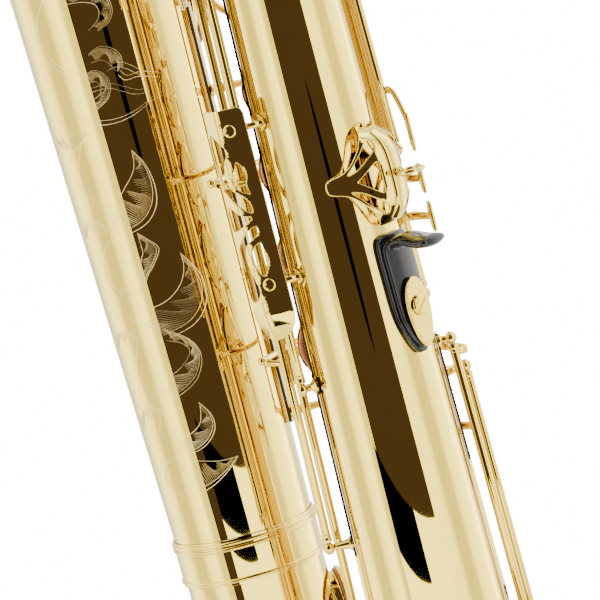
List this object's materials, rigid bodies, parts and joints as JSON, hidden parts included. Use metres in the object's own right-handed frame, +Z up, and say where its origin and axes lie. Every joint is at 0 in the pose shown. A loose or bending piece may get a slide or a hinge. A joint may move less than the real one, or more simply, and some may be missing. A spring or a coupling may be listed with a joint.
{
  "type": "baritone saxophone",
  "caption": "Lacquered brass baritone saxophone with keywork, folded top bow, strap saddle, thumb hook and leg guard.",
  "frame": {"origin": "centre of the strap ring on the back of the body tube", "axes": "+Z up along the body tube, +X from the bell towards the player, -Y to the player's left"},
  "size_m": [0.4524, 0.185, 1.0406],
  "materials": {
    "body_brass": "clear lacquered, polished",
    "key_brass": "clear lacquered, polished",
    "steel": "blued needle-straight rods",
    "black_hook": "glossy black",
    "ebonite": "polished hard rubber",
    "cork": "greased cork",
    "cane": "dry cane"
  },
  "bodies": {
    "instrument": {"bell": "body_brass", "bell_brace": "body_brass", "bell_key_guard": "body_brass", "bell_key_rib": "body_brass", "body_bow_ring": "body_brass", "body_tube": "body_brass", "bottom_bow": "body_brass", "bow_bell_ring": "body_brass", "left_rib": "body_brass", "leg_guard": "body_brass", "leg_guard_bracket_lower": "body_brass", "leg_guard_bracket_upper": "body_brass", "leg_guard_screw_lower": "body_brass", "leg_guard_screw_upper": "body_brass", "low_key_rib": "body_brass", "lower_stack_rib": "body_brass", "lower_stack_rod": "steel", "neck_receiver": "body_brass", "pigtail_loop": "body_brass", "side_rib": "body_brass", "strap_ring": "body_brass", "strap_saddle": "body_brass", "thumb_rest": "ebonite", "top_bow": "body_brass", "upper_stack_rib": "body_brass", "upper_stack_rod": "steel"},
    "g_key": {"g_key": "key_brass"},
    "a_key": {"a_key": "key_brass"},
    "b_key": {"b_key": "key_brass"},
    "d_key": {"d_key": "key_brass"},
    "e_key": {"e_key": "key_brass"},
    "f_key": {"f_key": "key_brass"},
    "f_sharp_key": {"f_sharp_key": "key_brass"},
    "palm_d_key": {"palm_d_key": "key_brass"},
    "palm_e_flat_key": {"palm_e_flat_key": "key_brass"},
    "palm_f_key": {"palm_f_key": "key_brass"},
    "side_e_key": {"side_e_key": "key_brass"},
    "side_c_key": {"side_c_key": "key_brass"},
    "side_b_flat_key": {"side_b_flat_key": "key_brass"},
    "low_e_flat_key": {"low_e_flat_key": "key_brass"},
    "low_c_key": {"low_c_key": "key_brass"},
    "low_b_lever": {"low_b_lever": "key_brass"},
    "low_b_flat_lever": {"low_b_flat_lever": "key_brass"},
    "low_c_sharp_key": {"low_c_sharp_key": "key_brass"},
    "g_sharp_key": {"g_sharp_key": "key_brass"},
    "low_b_key": {"low_b_key": "key_brass"},
    "low_b_flat_key": {"low_b_flat_key": "key_brass"},
    "low_a_key": {"low_a_key": "key_brass"},
    "octave_lever": {"octave_lever": "key_brass"},
    "water_key": {"water_key": "key_brass"},
    "neck": {"neck": "body_brass", "neck_cork": "cork"},
    "neck_octave_key": {"neck_octave_key": "key_brass"},
    "mouthpiece": {"mouthpiece": "ebonite", "reed": "cane", "ligature": "body_brass"},
    "neck_screw": {"neck_screw": "body_brass"},
    "thumb_hook": {"thumb_hook": "black_hook", "thumb_hook_plate": "body_brass"},
    "thumb_hook_screw": {"thumb_hook_screw": "body_brass"}
  },
  "joints": [
    {"name": "g_key_hinge", "type": "hinge", "parent": "instrument", "child": "g_key", "pos_m": [-0.0882, 0.03662, 0.133], "axis": [0.0106, -0.0157, 0.9998], "range_deg": [0, 9], "stiffness_Nm_per_rad": 0.08, "springref_deg": -11.46},
    {"name": "a_key_hinge", "type": "hinge", "parent": "instrument", "child": "a_key", "pos_m": [-0.08786, 0.03612, 0.165], "axis": [0.0106, -0.0157, 0.9998], "range_deg": [0, 9], "stiffness_Nm_per_rad": 0.08, "springref_deg": -11.46},
    {"name": "b_key_hinge", "type": "hinge", "parent": "instrument", "child": "b_key", "pos_m": [-0.08721, 0.03515, 0.227], "axis": [0.0106, -0.0157, 0.9998], "range_deg": [0, 9], "stiffness_Nm_per_rad": 0.08, "springref_deg": -11.46},
    {"name": "d_key_hinge", "type": "hinge", "parent": "instrument", "child": "d_key", "pos_m": [-0.09088, 0.0406, -0.121], "axis": [0.0106, -0.0157, 0.9998], "range_deg": [0, 10], "stiffness_Nm_per_rad": 0.08, "springref_deg": -11.46},
    {"name": "e_key_hinge", "type": "hinge", "parent": "instrument", "child": "e_key", "pos_m": [-0.09038, 0.03985, -0.073], "axis": [0.0106, -0.0157, 0.9998], "range_deg": [0, 10], "stiffness_Nm_per_rad": 0.08, "springref_deg": -11.46},
    {"name": "f_key_hinge", "type": "hinge", "parent": "instrument", "child": "f_key", "pos_m": [-0.08979, 0.03897, -0.017], "axis": [0.0106, -0.0157, 0.9998], "range_deg": [0, 10], "stiffness_Nm_per_rad": 0.08, "springref_deg": -11.46},
    {"name": "f_sharp_key_hinge", "type": "hinge", "parent": "instrument", "child": "f_sharp_key", "pos_m": [-0.08923, 0.03815, 0.035], "axis": [0.0106, -0.0157, 0.9998], "range_deg": [0, 9], "stiffness_Nm_per_rad": 0.08, "springref_deg": -11.46},
    {"name": "palm_d_key_hinge", "type": "hinge", "parent": "instrument", "child": "palm_d_key", "pos_m": [-0.07093, -0.03823, 0.2509], "axis": [0.0036, 0.0185, 0.9998], "range_deg": [0, 9], "stiffness_Nm_per_rad": 0.08, "springref_deg": -11.46},
    {"name": "palm_e_flat_key_hinge", "type": "hinge", "parent": "instrument", "child": "palm_e_flat_key", "pos_m": [-0.06217, -0.03816, 0.2909], "axis": [-0.0007, 0.0189, 0.9998], "range_deg": [0, 9], "stiffness_Nm_per_rad": 0.08, "springref_deg": -11.46},
    {"name": "palm_f_key_hinge", "type": "hinge", "parent": "instrument", "child": "palm_f_key", "pos_m": [-0.05317, -0.03601, 0.3289], "axis": [-0.0052, 0.0182, 0.9998], "range_deg": [0, 9], "stiffness_Nm_per_rad": 0.08, "springref_deg": -11.46},
    {"name": "side_e_key_hinge", "type": "hinge", "parent": "instrument", "child": "side_e_key", "pos_m": [-0.04046, 0.03687, 0.0109], "axis": [-0.01, -0.016, 0.9998], "range_deg": [-8, 0], "stiffness_Nm_per_rad": 0.08, "springref_deg": 11.46},
    {"name": "side_c_key_hinge", "type": "hinge", "parent": "instrument", "child": "side_c_key", "pos_m": [-0.04703, 0.04077, -0.0151], "axis": [-0.0071, -0.0175, 0.9998], "range_deg": [-8, 0], "stiffness_Nm_per_rad": 0.08, "springref_deg": 11.46},
    {"name": "side_b_flat_key_hinge", "type": "hinge", "parent": "instrument", "child": "side_b_flat_key", "pos_m": [-0.05412, 0.04415, -0.0771], "axis": [-0.0039, -0.0185, 0.9998], "range_deg": [-8, 0], "stiffness_Nm_per_rad": 0.08, "springref_deg": 11.46},
    {"name": "low_e_flat_key_hinge", "type": "hinge", "parent": "instrument", "child": "low_e_flat_key", "pos_m": [-0.03108, 0.03729, -0.3031], "axis": [-0.0124, -0.0143, 0.9998], "range_deg": [0, 5], "stiffness_Nm_per_rad": 0.08, "springref_deg": -11.46},
    {"name": "low_c_key_hinge", "type": "hinge", "parent": "instrument", "child": "low_c_key", "pos_m": [-0.03589, 0.04782, -0.2931], "axis": [-0.0094, -0.0164, 0.9998], "range_deg": [0, 8], "stiffness_Nm_per_rad": 0.08, "springref_deg": -11.46},
    {"name": "low_b_lever_hinge", "type": "hinge", "parent": "instrument", "child": "low_b_lever", "pos_m": [-0.10494, -0.03477, -0.2071], "axis": [0.0145, 0.0121, 0.9998], "range_deg": [-17, 0], "stiffness_Nm_per_rad": 0.08, "springref_deg": 11.46},
    {"name": "low_b_flat_lever_hinge", "type": "hinge", "parent": "instrument", "child": "low_b_flat_lever", "pos_m": [-0.08936, -0.03834, -0.1091], "axis": [0.0106, 0.0157, 0.9998], "range_deg": [-11, 0], "stiffness_Nm_per_rad": 0.08, "springref_deg": 11.46},
    {"name": "low_c_sharp_key_hinge", "type": "hinge", "parent": "instrument", "child": "low_c_sharp_key", "pos_m": [-0.10983, -0.02361, -0.2811], "axis": [0.0168, 0.0086, 0.9998], "range_deg": [-5, 0], "stiffness_Nm_per_rad": 0.08, "springref_deg": 11.46},
    {"name": "g_sharp_key_hinge", "type": "hinge", "parent": "instrument", "child": "g_sharp_key", "pos_m": [-0.10579, 0.01539, 0.089], "axis": [0.0178, -0.0065, 0.9998], "range_deg": [0, 11], "stiffness_Nm_per_rad": 0.08, "springref_deg": -11.46},
    {"name": "low_b_key_hinge", "type": "hinge", "parent": "instrument", "child": "low_b_key", "pos_m": [-0.15553, 0.05005, -0.1391], "axis": [-0.0066, 0.0132, 0.9999], "range_deg": [0, 5.5], "stiffness_Nm_per_rad": 0.08, "springref_deg": -11.46},
    {"name": "low_b_flat_key_hinge", "type": "hinge", "parent": "instrument", "child": "low_b_flat_key", "pos_m": [-0.1561, 0.05121, -0.0511], "axis": [-0.0066, 0.0132, 0.9999], "range_deg": [0, 5.5], "stiffness_Nm_per_rad": 0.08, "springref_deg": -11.46},
    {"name": "low_a_key_hinge", "type": "hinge", "parent": "instrument", "child": "low_a_key", "pos_m": [-0.15685, 0.05271, 0.0629], "axis": [-0.0066, 0.0132, 0.9999], "range_deg": [0, 5.5], "stiffness_Nm_per_rad": 0.08, "springref_deg": -11.46},
    {"name": "octave_lever_hinge", "type": "hinge", "parent": "instrument", "child": "octave_lever", "pos_m": [-0.02375, -0.01291, 0.1529], "axis": [-0.018, 0.0058, 0.9998], "range_deg": [-5, 0], "stiffness_Nm_per_rad": 0.08, "springref_deg": 11.46},
    {"name": "water_key_hinge", "type": "hinge", "parent": "instrument", "child": "water_key", "pos_m": [-0.1475, -0.0405, 0.37], "axis": [1, 0, 0], "range_deg": [-16, 0], "stiffness_Nm_per_rad": 0.05, "springref_deg": 11.46},
    {"name": "neck_swivel", "type": "hinge", "parent": "instrument", "child": "neck", "pos_m": [-0.1475, -0.054, 0.482], "axis": [0, 0, 1], "range_deg": [-25, 5]},
    {"name": "neck_octave_key_hinge", "type": "hinge", "parent": "neck", "child": "neck_octave_key", "pos_m": [-0.14161, -0.054, 0.53505], "axis": [0, 1, 0], "range_deg": [-6, 0], "stiffness_Nm_per_rad": 0.05, "springref_deg": 11.46},
    {"name": "mouthpiece_slide", "type": "slide", "parent": "neck", "child": "mouthpiece", "axis": [0.9874, 0, -0.1584], "range_m": [0, 0.01]},
    {"name": "neck_screw_turn", "type": "hinge", "parent": "instrument", "child": "neck_screw", "pos_m": [-0.1395, -0.0748, 0.49815], "axis": [1, 0, 0], "continuous": true},
    {"name": "thumb_hook_slide", "type": "slide", "parent": "instrument", "child": "thumb_hook", "axis": [0, 0, 1], "range_m": [-0.004, 0.003]},
    {"name": "thumb_hook_screw_turn", "type": "hinge", "parent": "thumb_hook", "child": "thumb_hook_screw", "pos_m": [-0.01838, 0, -0.078], "axis": [1, 0, 0], "continuous": true}
  ],
  "couplings": [
    {"joint": "low_b_key_hinge", "follows": "low_b_lever_hinge", "ratio": -0.3235},
    {"joint": "low_b_flat_key_hinge", "follows": "low_b_flat_lever_hinge", "ratio": -0.49995},
    {"joint": "f_sharp_key_hinge", "follows": "f_key_hinge", "ratio": 0.89991},
    {"joint": "neck_octave_key_hinge", "follows": "octave_lever_hinge", "ratio": 1.198}
  ]
}
